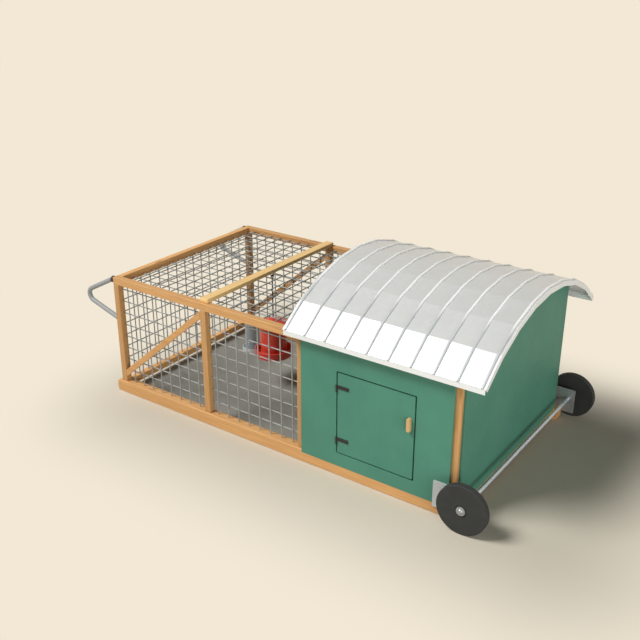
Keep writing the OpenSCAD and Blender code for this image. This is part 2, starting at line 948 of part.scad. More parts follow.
// A cap turned in one piece, a flange with a domed middle, pressed on the axle's end
module axle_caps() {
    hole = axle_diameter / 2 + running_fit;
    color(zinc) placed() both_sides() translate([axle_x, -cap_in, axle_z]) rotate([90, 0, 0])
        rotate_extrude() difference() {
            union() {
                square([cap_flange_diameter / 2, cap_flange_thick]);
                intersection() {
                    translate([0, cap_flange_thick]) square([cap_diameter / 2, cap_dome]);
                    translate([0, cap_flange_thick]) scale([cap_diameter / 2, cap_dome]) circle(r = 1);
                }
            }
            square([hole, cap_flange_thick + running_fit]);
        }
}

// Solid wheel with bevelled rims, a shallow hub recess on both faces and a plain bore
module wheel() {
    rim = wheel_diameter / 2;
    hole = axle_diameter / 2 + running_fit;
    recess = hub_recess_diameter / 2;
    boss = cap_flange_diameter / 2;
    translate([axle_x, -wheel_in, axle_z]) rotate([90, 0, 0]) rotate_extrude($fn = 2 * $fn) polygon([
        [hole, 0],
        [boss, 0],
        [boss, hub_recess],
        [recess, hub_recess],
        [recess, 0],
        [rim - wheel_bevel, 0],
        [rim, wheel_bevel],
        [rim, wheel_width - wheel_bevel],
        [rim - wheel_bevel, wheel_width],
        [recess, wheel_width],
        [recess, wheel_width - hub_recess],
        [boss, wheel_width - hub_recess],
        [boss, wheel_width],
        [hole, wheel_width],
    ]);
}

module near_wheel() {
    color(rubber) placed() wheel();
}

module far_wheel() {
    color(rubber) placed() far_side() wheel();
}

// Lifting handles

// Bar of one arm, from just inside the bend to its foot and a little past it
module arm(angle, length, d, entry) {
    start = arm_skip - entry;
    translate([arm_start + start * cos(angle), handle_y, handle_height + start * sin(angle)])
        rotate([0, 90 - angle, 0]) cylinder(d = d, h = length + entry + tube_diameter);
}

module arms(d, entry) {
    arm(upper_angle, upper_length, d, entry);
    arm(lower_angle, lower_length, d, entry);
}

// Two tubes in a solid elbow, the upper one cut flat at its flange and the lower one at the post
module handle() {
    reach = 3 * tube_diameter;
    difference() {
        union() {
            arms(tube_diameter, elbow_entry);
            translate([bend_x, handle_y, bend_z]) rotate([0, -90 - upper_angle, 0]) rotate([90, 0, 0])
                rotate_extrude(angle = 180 - 2 * half_angle)
                    translate([bend_radius, 0]) circle(d = elbow_diameter);
        }
        arms(tube_diameter - 2 * tube_wall, 0);
        translate([upper_end, handle_y - reach, handle_height]) cube([reach, 2 * reach, rail_top]);
        translate([end_set_back, handle_y - reach, 0]) cube([reach, 2 * reach, handle_height]);
    }
}

module near_handle() {
    color(zinc) placed() handle();
}

module far_handle() {
    color(zinc) placed() far_side() handle();
}

module handle_flanges() {
    color(black) placed() both_sides() translate([upper_end, handle_y, rail_mid])
        rotate([0, 90, 0]) cylinder(d = flange_diameter, h = flange_thick);
}

// Feeder, hung from the batten

module feeder_eye() {
    color(black) placed() translate([feeder_x, mid_y, 0]) {
        translate([0, 0, ring_z]) rotate([90, 0, 0])
            rotate_extrude() translate([ring_radius, 0]) circle(d = ring_wire);
        translate([0, 0, ring_z + ring_radius]) cylinder(d = ring_wire, h = eye_drop + eye_depth);
    }
}

module feeder_rod() {
    color(black) placed() translate([feeder_x, mid_y, 0]) {
        translate([0, 0, tray_base - rod_plate_thick]) cylinder(d = rod_plate_diameter, h = rod_plate_thick);
        translate([0, 0, tray_base]) cylinder(d = rod_diameter, h = loop_z - loop_radius - tray_base);
        translate([0, 0, loop_z]) rotate([0, 90, 0])
            rotate_extrude() translate([loop_radius, 0]) circle(d = loop_wire);
    }
}

// The tray has three feet that carry the hopper above its floor
module feeder_tray() {
    outer = tray_diameter / 2;
    color(red) placed() translate([feeder_x, mid_y, tray_base]) {
        rotate_extrude() polygon([
            [rod_hole, 0],
            [outer, 0],
            [outer, tray_height],
            [outer - feeder_wall, tray_height],
            [outer - feeder_wall, feeder_wall],
            [rod_hole, feeder_wall],
        ]);
        for (a = tab_angles)
            rotate(a) translate([hopper_diameter / 2 - foot_diameter / 2, 0, feeder_wall / 2])
                cylinder(d = foot_diameter, h = feeder_wall / 2 + feed_gap);
    }
}

module feeder_hopper() {
    outer = hopper_diameter / 2;
    color(red) placed() translate([feeder_x, mid_y, hopper_base]) difference() {
        cylinder(r = outer, h = hopper_height);
        translate([0, 0, -overcut]) cylinder(r = outer - feeder_wall, h = hopper_height + 2 * overcut);
    }
}

// The lid rests on the hopper's rim and slides up the rod
module feeder_lid() {
    outer = lid_diameter / 2;
    skirt = hopper_diameter / 2 + lid_play;
    ledge = hopper_diameter / 2 - 2 * feeder_wall;
    color(red) placed() translate([feeder_x, mid_y, hopper_top]) rotate_extrude() polygon([
        [rod_hole, lid_rise - 4 * feeder_wall],
        [lid_collar / 2, lid_rise - 4 * feeder_wall],
        [ledge, 0],
        [skirt, 0],
        [skirt, -lid_skirt],
        [outer, -lid_skirt],
        [outer, feeder_wall],
        [lid_collar / 2, lid_rise],
        [rod_hole, lid_rise],
    ]);
}

// Drinker, standing on the mat

module drinker_dish() {
    outer = dish_diameter / 2;
    color(zinc) placed() translate([drinker_start, drinker_y, mat_thick]) rotate_extrude() polygon([
        [0, 0],
        [outer, 0],
        [outer, dish_height],
        [outer - drinker_wall, dish_height],
        [outer - drinker_wall, drinker_wall],
        [0, drinker_wall],
    ]);
}

// The can stands upside down in its dish
module drinker_can() {
    outer = can_diameter / 2;
    inner = outer - drinker_wall;
    color(zinc) placed() translate([drinker_start, drinker_y, mat_thick]) rotate_extrude() polygon(concat(
        [[inner, drinker_wall], [outer, drinker_wall]],
        quarter(outer - can_round, drinker_height - can_round, can_round, 0),
        [[0, drinker_height], [0, drinker_height - drinker_wall]],
        [[inner - can_round, drinker_height - drinker_wall]],
        [[inner, drinker_height - can_round - drinker_wall]]
    ));
}

near_skid();
far_skid();
run_end_sill();
coop_front_sill();
coop_rear_sill();
near_corner_post();
far_corner_post();
near_mid_post();
far_mid_post();
near_coop_post();
far_coop_post();
near_rear_post();
far_rear_post();
near_top_rail();
far_top_rail();
run_end_rail();
coop_front_rail();
coop_rear_rail();
cross_batten();
near_brace();
far_brace();
near_mesh();
far_mesh();
end_mesh();
top_mesh();
run_mat();
near_side_panel();
far_side_panel();
rear_panel();
front_panel();
coop_floor();
perch();
roof_purlins();
roof_sheet();
roof_seams();
roof_trims();
door_stops();
door_panel();
hinge_straps();
hinge_pintles();
door_pull();
latch_tongue();
near_axle_plate();
far_axle_plate();
plate_bolts();
axle();
axle_spacers();
axle_caps();
near_wheel();
far_wheel();
near_handle();
far_handle();
handle_flanges();
feeder_eye();
feeder_rod();
feeder_tray();
feeder_hopper();
feeder_lid();
drinker_dish();
drinker_can();
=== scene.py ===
"""Looks of the chicken tractor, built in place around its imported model.

Each sub-assembly is a class: it models its pieces as they are made in the workshop, dresses
them with their finish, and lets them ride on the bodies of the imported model. All sizes are in
metres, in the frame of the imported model.
"""

import logging
import math
from dataclasses import dataclass
from enum import Enum
from typing import Any, Iterable, Sequence, Union

import bmesh
import bpy
from mathutils import Matrix, Vector

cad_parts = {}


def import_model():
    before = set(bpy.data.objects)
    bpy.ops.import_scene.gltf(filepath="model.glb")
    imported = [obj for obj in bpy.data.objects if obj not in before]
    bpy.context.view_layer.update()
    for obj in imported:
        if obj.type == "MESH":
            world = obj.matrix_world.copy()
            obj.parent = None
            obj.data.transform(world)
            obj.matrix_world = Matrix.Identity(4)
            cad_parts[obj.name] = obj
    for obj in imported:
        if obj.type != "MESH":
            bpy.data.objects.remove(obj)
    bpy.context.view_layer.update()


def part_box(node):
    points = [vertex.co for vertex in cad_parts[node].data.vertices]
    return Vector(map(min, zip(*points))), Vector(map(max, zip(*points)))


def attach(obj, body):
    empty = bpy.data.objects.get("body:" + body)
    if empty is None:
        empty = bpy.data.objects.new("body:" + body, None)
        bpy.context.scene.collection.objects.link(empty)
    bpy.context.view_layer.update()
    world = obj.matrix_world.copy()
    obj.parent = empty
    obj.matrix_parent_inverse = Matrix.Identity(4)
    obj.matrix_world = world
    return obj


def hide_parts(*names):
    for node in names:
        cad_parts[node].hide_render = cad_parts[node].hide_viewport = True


LOG = logging.getLogger("chicken_tractor")
MM = 0.001
X_AXIS, Y_AXIS, Z_AXIS = Vector((1, 0, 0)), Vector((0, 1, 0)), Vector((0, 0, 1))
# Range of a noise that holds most of its values
NOISE_SPAN = (0.3, 0.7)
# Setting of a map range that eases in and out
SMOOTH = {"interpolation_type": "SMOOTHSTEP"}

Socket = bpy.types.NodeSocket
Sockets = Union[dict[Any, Any], Sequence[Any]]
Tree = bpy.types.NodeTree
Span = tuple[float, float]
Triple = tuple[float, float, float]


class Grain(Enum):
    """Direction in which a board's grain runs."""

    X = 0
    Y = 1
    Z = 2


class Side(Enum):
    """Side of the tractor, by its direction along Y."""

    NEAR = -1
    FAR = 1

    @property
    def word(self) -> str:
        """The side's name in lower case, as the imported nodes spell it."""
        return self.name.lower()


# Shader helpers


def linear(code: str) -> tuple[float, float, float, float]:
    """Turns an sRGB hex value into a linear colour.

    Args:
        code: Colour such as "#57907A".

    Returns:
        Linear red, green, blue and an alpha of 1.
    """
    parts = [int(code[i : i + 2], 16) / 255 for i in (1, 3, 5)]
    red, green, blue = (c / 12.92 if c <= 0.04045 else ((c + 0.055) / 1.055) ** 2.4 for c in parts)
    return (red, green, blue, 1.0)


def add_node(tree: Tree, kind: str, sockets: Sockets = (), **settings: Any) -> Any:
    """Adds one shader node with its settings, values and links.

    Args:
        tree: Node tree that gets the node.
        kind: Type name of the node.
        sockets: Values to set or output sockets to link, by input name or index, or in the inputs' order.
        **settings: Properties of the node.

    Returns:
        The new node.
    """
    node = tree.nodes.new(kind)
    for name, value in settings.items():
        setattr(node, name, value)
    for key, value in sockets.items() if isinstance(sockets, dict) else enumerate(sockets):
        if isinstance(value, Socket):
            tree.links.new(value, node.inputs[key])
        else:
            node.inputs[key].default_value = value
    return node


# Finishes


@dataclass(frozen=True)
class Canvas:
    """A material in the making: its node tree, its principled shader and its object coordinates in metres."""

    tree: Tree
    shader: Any
    place: Socket

    def pattern(self, size: Sequence[float], detail: float = 2.0, rough: float = 0.5) -> Socket:
        """Adds a soft pattern with a feature size for each axis.

        Args:
            size: Feature size along X, Y and Z, in metres.
            detail: Octaves of the noise.
            rough: Weight of the finer octaves.

        Returns:
            The pattern's value, around 0.5.
        """
        scale = Vector([1 / s for s in size])
        scaled = add_node(self.tree, "ShaderNodeMapping", {"Vector": self.place, "Scale": scale})
        sockets = {"Vector": scaled.outputs[0], "Scale": 1.0, "Detail": detail, "Roughness": rough}
        return add_node(self.tree, "ShaderNodeTexNoise", sockets).outputs["Fac"]

    def coat(self, factor: Socket, first: Any, second: Any) -> Socket:
        """Colours the surface between two colours.

        Args:
            factor: Share of the second colour.
            first: First colour, or a socket.
            second: Second colour, or a socket.

        Returns:
            The mixed colour.
        """
        sockets = {0: factor, 6: first, 7: second}
        mixed = add_node(self.tree, "ShaderNodeMix", sockets, data_type="RGBA").outputs[2]
        self.tree.links.new(mixed, self.shader.inputs["Base Color"])
        return mixed

    def polish(self, value: Socket, span: Span, gloss: Span) -> None:
        """Lets the roughness follow a pattern.

        Args:
            value: Pattern to follow.
            span: Range of the pattern that counts.
            gloss: Roughness at the ends of that range.
        """
        rough = add_node(self.tree, "ShaderNodeMapRange", [value, *span, *gloss], **SMOOTH)
        self.tree.links.new(rough.outputs[0], self.shader.inputs["Roughness"])

    def emboss(self, height: Socket, depth: float, strength: float) -> None:
        """Raises the surface a little where a pattern is high.

        Args:
            height: Height from 0 to 1.
            depth: Real height of the relief, in metres.
            strength: Strength of the bump.
        """
        sockets = {"Height": height, "Distance": depth, "Strength": strength}
        bump = add_node(self.tree, "ShaderNodeBump", sockets)
        self.tree.links.new(bump.outputs["Normal"], self.shader.inputs["Normal"])


@dataclass(frozen=True)
class Finish:
    """A surface finish: one procedural material and the record's slot that it belongs to."""

    name: str
    slot: str

    def material(self) -> bpy.types.Material:
        """Gives the finish's material, made on its first use.

        Returns:
            The material with its node tree.
        """
        found = bpy.data.materials.get(self.name)
        if found is not None:
            return found
        made = bpy.data.materials.new(self.name)
        made.use_nodes = True
        tree = made.node_tree
        place = add_node(tree, "ShaderNodeTexCoord").outputs["Object"]
        self.paint(Canvas(tree, tree.nodes["Principled BSDF"], place))
        return made

    def paint(self, canvas: Canvas) -> None:
        """Builds the finish's nodes on a canvas."""
        raise NotImplementedError


@dataclass(frozen=True)
class Pine(Finish):
    """Planed and oiled pine: warm, with long darker growth bands, a few knots and a low sheen."""

    grain: Grain = Grain.X
    light: str = "#DEAC70"
    dark: str = "#BE8850"
    knot: str = "#8A5830"
    band: float = 15 * MM
    band_run: float = 700 * MM
    band_count: float = 7.0
    band_share: float = 0.42
    fibre: float = 3 * MM
    fibre_run: float = 160 * MM
    fibre_span: Span = (0.35, 0.7)
    fibre_share: float = 0.5
    knot_spread: float = 85 * MM
    knot_run: float = 420 * MM
    knot_span: Span = (0.05, 0.13)
    knot_share: float = 0.8
    gloss: Span = (0.46, 0.62)
    relief_depth: float = 0.4 * MM
    relief_strength: float = 0.3

    def along(self, across: float, run: float) -> list[float]:
        """Feature size that is long along the grain."""
        return [run if axis == self.grain.value else across for axis in range(3)]

    def paint(self, canvas: Canvas) -> None:
        """Builds growth bands, fibres and knots. Fibres are drawn wider than real ones so that they show.

        Args:
            canvas: Material in the making.
        """
        tree = canvas.tree
        figure = canvas.pattern(self.along(self.band, self.band_run))
        steps = add_node(tree, "ShaderNodeMath", [figure, self.band_count], operation="MULTIPLY").outputs[0]
        rings = add_node(tree, "ShaderNodeMath", [steps, 1.0], operation="PINGPONG").outputs[0]
        fibres = canvas.pattern(self.along(self.fibre, self.fibre_run), detail=3.0, rough=0.6)
        sockets = [fibres, *self.fibre_span, 0.0, self.fibre_share]
        streak = add_node(tree, "ShaderNodeMapRange", sockets, **SMOOTH).outputs[0]
        sockets = [rings, self.band_share, streak]
        shade = add_node(tree, "ShaderNodeMath", sockets, operation="MULTIPLY_ADD").outputs[0]
        wood = canvas.coat(shade, linear(self.light), linear(self.dark))
        cells = Vector([1 / s for s in self.along(self.knot_spread, self.knot_run)])
        spots = add_node(tree, "ShaderNodeMapping", {"Vector": canvas.place, "Scale": cells}).outputs[0]
        near = add_node(tree, "ShaderNodeTexVoronoi", {"Vector": spots, "Scale": 1.0}).outputs["Distance"]
        sockets = [near, *self.knot_span, self.knot_share, 0.0]
        knots = add_node(tree, "ShaderNodeMapRange", sockets, **SMOOTH).outputs[0]
        canvas.coat(knots, wood, linear(self.knot))
        canvas.polish(fibres, NOISE_SPAN, self.gloss)
        canvas.emboss(fibres, self.relief_depth, self.relief_strength)


@dataclass(frozen=True)
class PaintedPly(Finish):
    """Satin outdoor paint rolled on plywood: even colour, a roller's stipple and faint upright grain."""

    colour: str = "#518C77"
    deep: str = "#48816E"
    stipple: float = 7 * MM
    cloud: float = 320 * MM
    cloud_share: float = 0.7
    grain: Triple = (11 * MM, 11 * MM, 600 * MM)
    grain_share: float = 0.35
    grain_height: float = 0.6
    gloss: Span = (0.5, 0.62)
    specular: float = 0.35
    relief_depth: float = 0.25 * MM
    relief_strength: float = 0.25

    def paint(self, canvas: Canvas) -> None:
        """Builds clouded colour and stipple. The stipple is drawn coarser than real so that it shows.

        Args:
            canvas: Material in the making.
        """
        tree = canvas.tree
        clouds = canvas.pattern([self.cloud] * 3, detail=3.0, rough=0.55)
        grain = canvas.pattern(self.grain)
        stipple = canvas.pattern([self.stipple] * 3)
        sockets = [clouds, *NOISE_SPAN, 0.0, self.cloud_share]
        tint = add_node(tree, "ShaderNodeMapRange", sockets, **SMOOTH).outputs[0]
        sockets = [grain, self.grain_share, tint]
        worn = add_node(tree, "ShaderNodeMath", sockets, operation="MULTIPLY_ADD").outputs[0]
        canvas.coat(worn, linear(self.colour), linear(self.deep))
        canvas.polish(stipple, NOISE_SPAN, self.gloss)
        canvas.shader.inputs["Specular IOR Level"].default_value = self.specular
        sockets = [grain, self.grain_height, stipple]
        height = add_node(tree, "ShaderNodeMath", sockets, operation="MULTIPLY_ADD").outputs[0]
        canvas.emboss(height, self.relief_depth, self.relief_strength)


@dataclass(frozen=True)
class SheetMetal(Finish):
    """Zinc-coated or coated steel: cool grey, with a faint crystal spangle that shifts its gloss."""

    colour: str = "#A7ABAA"
    pale: str = "#BBBFBE"
    spangle: float = 14 * MM
    metallic: float = 0.85
    gloss: Span = (0.32, 0.46)
    relief_depth: float = 0.1 * MM
    relief_strength: float = 0.2
    drift: float = 180 * MM
    cell_share: float = 0.5
    tone_span: Span = (0.3, 1.1)

    def paint(self, canvas: Canvas) -> None:
        """Builds the spangle as random cells, with a slow drift of tone over them.

        Args:
            canvas: Material in the making.
        """
        tree = canvas.tree
        cells = add_node(tree, "ShaderNodeTexVoronoi", {"Vector": canvas.place, "Scale": 1 / self.spangle})
        split = add_node(tree, "ShaderNodeSeparateColor", [cells.outputs["Color"]]).outputs[0]
        drift = canvas.pattern([self.drift] * 3)
        sockets = [split, self.cell_share, drift]
        tone = add_node(tree, "ShaderNodeMath", sockets, operation="MULTIPLY_ADD").outputs[0]
        factor = add_node(tree, "ShaderNodeMapRange", [tone, *self.tone_span, 0.0, 1.0], **SMOOTH).outputs[0]
        canvas.coat(factor, linear(self.colour), linear(self.pale))
        canvas.polish(tone, self.tone_span, self.gloss)
        canvas.shader.inputs["Metallic"].default_value = self.metallic
        canvas.emboss(drift, self.relief_depth, self.relief_strength)


@dataclass(frozen=True)
class SeamMetalWithPaintedLight(SheetMetal):
    """Sheet metal that whitens towards the top, as a painted highlight near the roof's ridge."""

    painted_highlight: str = "#FAFCFD"
    highlight_rise: Span = (0.92, 0.985)

    def paint(self, canvas: Canvas) -> None:
        """Builds the sheet metal, then whitens it with height as a painted highlight.

        Args:
            canvas: Material in the making.
        """
        tree = canvas.tree
        super().paint(canvas)
        # The seam's base colour is painted darker than the roof sheet, as shade on the seams' sides
        shaded_seam_colour = canvas.shader.inputs["Base Color"].links[0].from_socket
        height = add_node(tree, "ShaderNodeSeparateXYZ", [canvas.place]).outputs["Z"]
        highlight_share = add_node(tree, "ShaderNodeMapRange", [height, *self.highlight_rise, 0.0, 1.0], **SMOOTH).outputs[0]
        canvas.coat(highlight_share, shaded_seam_colour, linear(self.painted_highlight))


@dataclass(frozen=True)
class Moulded(Finish):
    """Moulded rubber or plastic, or a powder coat: one colour, with a fine grit and a little dust."""

    colour: str = "#2A2A2A"
    dust: str = "#3A3A3A"
    grit: float = 4 * MM
    cloud: float = 70 * MM
    gloss: Span = (0.5, 0.7)
    relief_depth: float = 0.15 * MM
    relief_strength: float = 0.35
    specular: float = 0.5
    dust_span: Span = (0.35, 0.75)
    dust_share: float = 0.8
    grit_share: float = 0.3

    def paint(self, canvas: Canvas) -> None:
        """Builds dusty clouds and grit. The grit is drawn coarser than real so that it shows.

        Args:
            canvas: Material in the making.
        """
        tree = canvas.tree
        clouds = canvas.pattern([self.cloud] * 3, detail=4.0, rough=0.6)
        grit = canvas.pattern([self.grit] * 3)
        sockets = [clouds, *self.dust_span, 0.0, self.dust_share]
        dusty = add_node(tree, "ShaderNodeMapRange", sockets, **SMOOTH).outputs[0]
        sockets = [grit, self.grit_share, dusty]
        speck = add_node(tree, "ShaderNodeMath", sockets, operation="MULTIPLY_ADD").outputs[0]
        canvas.coat(speck, linear(self.colour), linear(self.dust))
        canvas.polish(clouds, NOISE_SPAN, self.gloss)
        canvas.shader.inputs["Specular IOR Level"].default_value = self.specular
        canvas.emboss(grit, self.relief_depth, self.relief_strength)


class Finishes:
    """The finishes of this tractor."""

    PINE = {
        Grain.X: Pine("oiled_pine_along_x", "pine", Grain.X),
        # Pine across Y is painted lighter than the same pine along X, as light on the shaded inner faces of
        # rails and sills
        Grain.Y: Pine("oiled_pine_along_y_painted_lighter", "pine", Grain.Y, "#F4BE7C", "#D2975A"),
        # Pine along Z is painted darker than the same pine along X, as shade on the upright posts
        Grain.Z: Pine("oiled_pine_along_z_painted_darker", "pine", Grain.Z, "#CFA069", "#B1804B"),
    }
    PALE_PINE = {
        grain: Pine(f"pale_pine_along_{word}", "pale_pine", grain, "#FAD695", "#E5B975", "#B58449")
        for grain, word in ((Grain.X, "x"), (Grain.Y, "y"))
    }
    TURNED = Pine("turned_pale_pine", "pale_pine", Grain.Z, "#D6B27C", "#C39D66", "#A07A4A")
    GREEN = PaintedPly("green_painted_plywood", "green_paint")
    # The door stops are painted a deeper green than the walls, as shade in the door's gap
    GAP_SHADE_GREEN = PaintedPly("green_batten_painted_gap_shade", "dark_green_paint", "#2B5746", "#244B3C")
    ROOF = SheetMetal(
        "coated_roof_sheet", "roof_metal", "#CDD1D4", "#D1D5D8",
        spangle=22 * MM, metallic=0.4, gloss=(0.28, 0.3), relief_depth=0.02 * MM,
    )
    # The trims are painted paler than the roof sheet, as light on them where they lie in shade at the roof's
    # far end
    TRIM = SheetMetal(
        "folded_roof_trim_painted_lighter", "roof_metal", "#EAEDEE", "#EEF1F2",
        spangle=22 * MM, metallic=0.2, gloss=(0.28, 0.3), relief_depth=0.02 * MM,
    )
    # Seams: base colour painted darker than the roof sheet as shade, and whitened towards the ridge as a
    # painted highlight
    SEAM = SeamMetalWithPaintedLight(
        "folded_roof_seam_painted_light", "roof_metal", "#BDC2C5", "#C4C9CC",
        spangle=22 * MM, metallic=0.2, gloss=(0.3, 0.34), relief_depth=0.02 * MM,
    )
    WIRE = SheetMetal(
        "galvanised_wire", "galvanised_mesh", "#959898", "#A4A7A6",
        spangle=9 * MM, metallic=0.4, gloss=(0.4, 0.55),
    )
    ZINC = SheetMetal("galvanised_steel", "zinc_steel", "#9FA3A4", "#A8ACAD", spangle=12 * MM, metallic=0.6)
    # A paler copy of the galvanised steel, painted as light on the near axle plate; the far plate keeps the
    # darker zinc as its shade
    PLATE = SheetMetal(
        "galvanised_plate_painted_lit", "zinc_steel", "#C3C7C9", "#CDD1D2",
        spangle=12 * MM, metallic=0.15, gloss=(0.35, 0.45),
    )
    BRIGHT = SheetMetal(
        "bright_drawn_steel", "zinc_steel", "#C8D2DB", "#D5DDE4",
        spangle=10 * MM, metallic=0.35, gloss=(0.25, 0.35),
    )
    TUBE = SheetMetal(
        "dull_zinc_tube", "zinc_steel", "#96999B", "#9EA1A3",
        spangle=12 * MM, metallic=0.1, gloss=(0.6, 0.7),
    )
    DULL = SheetMetal(
        "dull_galvanised_sheet", "zinc_steel", "#B4BDC6", "#C0C8D0",
        spangle=16 * MM, metallic=0.3, gloss=(0.4, 0.55),
    )
    # The dish is painted near-white, as a painted highlight on its galvanised rim
    PAN = SheetMetal(
        "galvanised_pan_painted_highlight", "zinc_steel", "#F2F5F7", "#F8FAFB",
        spangle=16 * MM, metallic=0.2, gloss=(0.25, 0.35),
    )
    BLACK = Moulded(
        "black_powder_coat", "black_steel", "#191918", "#252423",
        grit=3 * MM, cloud=60 * MM, gloss=(0.4, 0.55),
    )
    RUBBER = Moulded(
        "moulded_rubber", "wheel_rubber", "#2E2F2F", "#393A39",
        grit=3 * MM, cloud=90 * MM, gloss=(0.62, 0.8), specular=0.3,
    )
    RED = Moulded(
        "red_moulded_plastic", "red_plastic", "#E84E3D", "#D84435",
        grit=2 * MM, cloud=120 * MM, gloss=(0.3, 0.4), relief_depth=0.05 * MM,
    )
    MAT = Moulded(
        "grey_rubber_mat", "grey_mat", "#98978F", "#A7A69E",
        grit=9 * MM, cloud=160 * MM, gloss=(0.75, 0.9), relief_depth=0.5 * MM, specular=0.2,
    )


# Modelling


class Piece:
    """A piece in the making: a mesh at its final place, from its first shape to its finish."""

    MERGE = 0.01 * MM
    FLAT = math.radians(0.5)
    SHARP = math.radians(30)
    BOARD_FACETS = 3
    RING_SIDES = 10
    RING_STEPS = 64
    RIB_RISE = 0.3
    RIB_EDGE = math.radians(60)
    FLAT_WEIGHT = 100

    def __init__(self) -> None:
        """Starts with an empty mesh."""
        self.bm = bmesh.new()

    def merge(self) -> None:
        """Joins points that lie on each other."""
        bmesh.ops.remove_doubles(self.bm, verts=self.bm.verts, dist=self.MERGE)

    def close(self) -> None:
        """Joins doubled points and turns all faces outwards."""
        self.merge()
        bmesh.ops.recalc_face_normals(self.bm, faces=self.bm.faces)

    def board(self, low: Vector, high: Vector, ease: float) -> "Piece":
        """Adds a sawn board with eased edges.

        Args:
            low: Lowest corner.
            high: Highest corner.
            ease: Width of the eased edges.

        Returns:
            The piece itself.
        """
        corners = bmesh.ops.create_cube(self.bm, size=1.0)["verts"]
        bmesh.ops.scale(self.bm, vec=high - low, verts=corners)
        bmesh.ops.translate(self.bm, vec=(low + high) / 2, verts=corners)
        edges = list({edge for corner in corners for edge in corner.link_edges})
        self.round_off(edges, ease, self.BOARD_FACETS)
        return self

    def rod(self, start: Vector, end: Vector, radius: float, sides: int) -> "Piece":
        """Adds a straight round rod.

        Args:
            start: Middle of its first end.
            end: Middle of its other end.
            radius: Radius of the rod.
            sides: Number of flats around it.

        Returns:
            The piece itself.
        """
        reach = end - start
        turn = reach.to_track_quat("Z", "Y").to_matrix().to_4x4()
        bmesh.ops.create_cone(
            self.bm, cap_ends=True, segments=sides, radius1=radius, radius2=radius, depth=reach.length,
            matrix=Matrix.Translation((start + end) / 2) @ turn,
        )
        return self

    def bead(self, place: Vector, radius: float) -> "Piece":
        """Adds a small round bead, such as a weld."""
        bmesh.ops.create_icosphere(self.bm, subdivisions=1, radius=radius, matrix=Matrix.Translation(place))
        return self

    def lathe(self, profile: Sequence[Span], centre: Vector, axis: Vector, steps: int) -> "Piece":
        """Adds a turned shape.

        Args:
            profile: Closed outline as distance from the axis and distance along it.
            centre: Point on the axis where the distance along it is 0.
            axis: Direction of the axis.
            steps: Number of steps around it.

        Returns:
            The piece itself.
        """
        out = axis.orthogonal().normalized()
        points = [self.bm.verts.new(centre + out * r + axis * h) for r, h in profile]
        edges = [self.bm.edges.new((a, b)) for a, b in zip(points, points[1:] + points[:1])]
        bmesh.ops.spin(
            self.bm, geom=points + edges, cent=centre, axis=axis, angle=math.tau, steps=steps, use_merge=True
        )
        self.close()
        return self

    def ring(self, centre: Vector, axis: Vector, radius: float, thickness: float) -> "Piece":
        """Adds a round ring, such as a rolled rim.

        Args:
            centre: Middle of the ring.
            axis: Direction that it faces.
            radius: Distance of its wire from the middle.
            thickness: Radius of its wire.

        Returns:
            The piece itself.
        """
        turns = [math.tau * i / self.RING_SIDES for i in range(self.RING_SIDES)]
        section = [(radius + thickness * math.cos(a), thickness * math.sin(a)) for a in turns]
        return self.lathe(section, centre, axis, self.RING_STEPS)

    def copy_of(self, node: str) -> "Piece":
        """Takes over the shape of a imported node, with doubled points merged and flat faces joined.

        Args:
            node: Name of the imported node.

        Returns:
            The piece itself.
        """
        self.bm.from_mesh(bpy.data.objects[node].data)
        self.merge()
        bmesh.ops.dissolve_limit(
            self.bm, angle_limit=self.FLAT, verts=self.bm.verts, edges=self.bm.edges, delimit={"NORMAL"}
        )
        return self

    def ease(self, width: float, segments: int = 2, angle: float = 30) -> "Piece":
        """Rounds every edge that is sharper than an angle.

        Args:
            width: Width of the rounding.
            segments: Number of facets across it.
            angle: Least angle between two faces, in degrees.

        Returns:
            The piece itself.
        """
        limit = math.radians(angle)
        edges = [e for e in self.bm.edges if e.is_manifold and e.calc_face_angle(0.0) > limit]
        self.round_off(edges, width, segments)
        return self

    def ease_top(self, width: float, segments: int) -> "Piece":
        """Rounds the edges between the upper faces of a rib and its sides, and leaves its foot sharp.

        Args:
            width: Width of the rounding.
            segments: Number of facets across it.

        Returns:
            The piece itself.
        """
        upper = [face for face in self.bm.faces if face.normal.z > self.RIB_RISE]
        edges = {e for face in upper for e in face.edges if e.is_manifold}
        self.round_off([e for e in edges if e.calc_face_angle(0.0) > self.RIB_EDGE], width, segments)
        return self

    def round_off(self, edges: Iterable[Any], width: float, segments: int) -> None:
        """Bevels a set of edges.

        Args:
            edges: Edges to bevel.
            width: Width of the bevel.
            segments: Number of facets across it.
        """
        bmesh.ops.bevel(
            self.bm, geom=list(edges), offset=width, offset_type="OFFSET", segments=segments, profile=0.5,
            affect="EDGES", clamp_overlap=True, material=-1,
        )

    def done(self, name: str, finish: Finish, body: str, *nodes: str) -> bpy.types.Object:
        """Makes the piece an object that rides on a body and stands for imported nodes.

        Args:
            name: Name of the piece.
            finish: Its finish.
            body: Body that it rides on.
            *nodes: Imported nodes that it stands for.

        Returns:
            The finished object.
        """
        mesh = bpy.data.meshes.new(name)
        self.bm.to_mesh(mesh)
        self.bm.free()
        if "custom_normal" in mesh.attributes:
            mesh.attributes.remove(mesh.attributes["custom_normal"])
        mesh.shade_smooth()
        mesh.set_sharp_from_angle(angle=self.SHARP)
        mesh.materials.clear()
        mesh.materials.append(finish.material())
        mesh.polygons.foreach_set("material_index", [0] * len(mesh.polygons))
        made = bpy.data.objects.new(name, mesh)
        bpy.context.scene.collection.objects.link(made)
        flats = made.modifiers.new("even_flats", "WEIGHTED_NORMAL")
        flats.keep_sharp = True
        flats.weight = self.FLAT_WEIGHT
        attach(made, body)
        if nodes:
            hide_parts(*nodes)
        LOG.info("%s: %d faces, %s", name, len(mesh.polygons), finish.name)
        return made


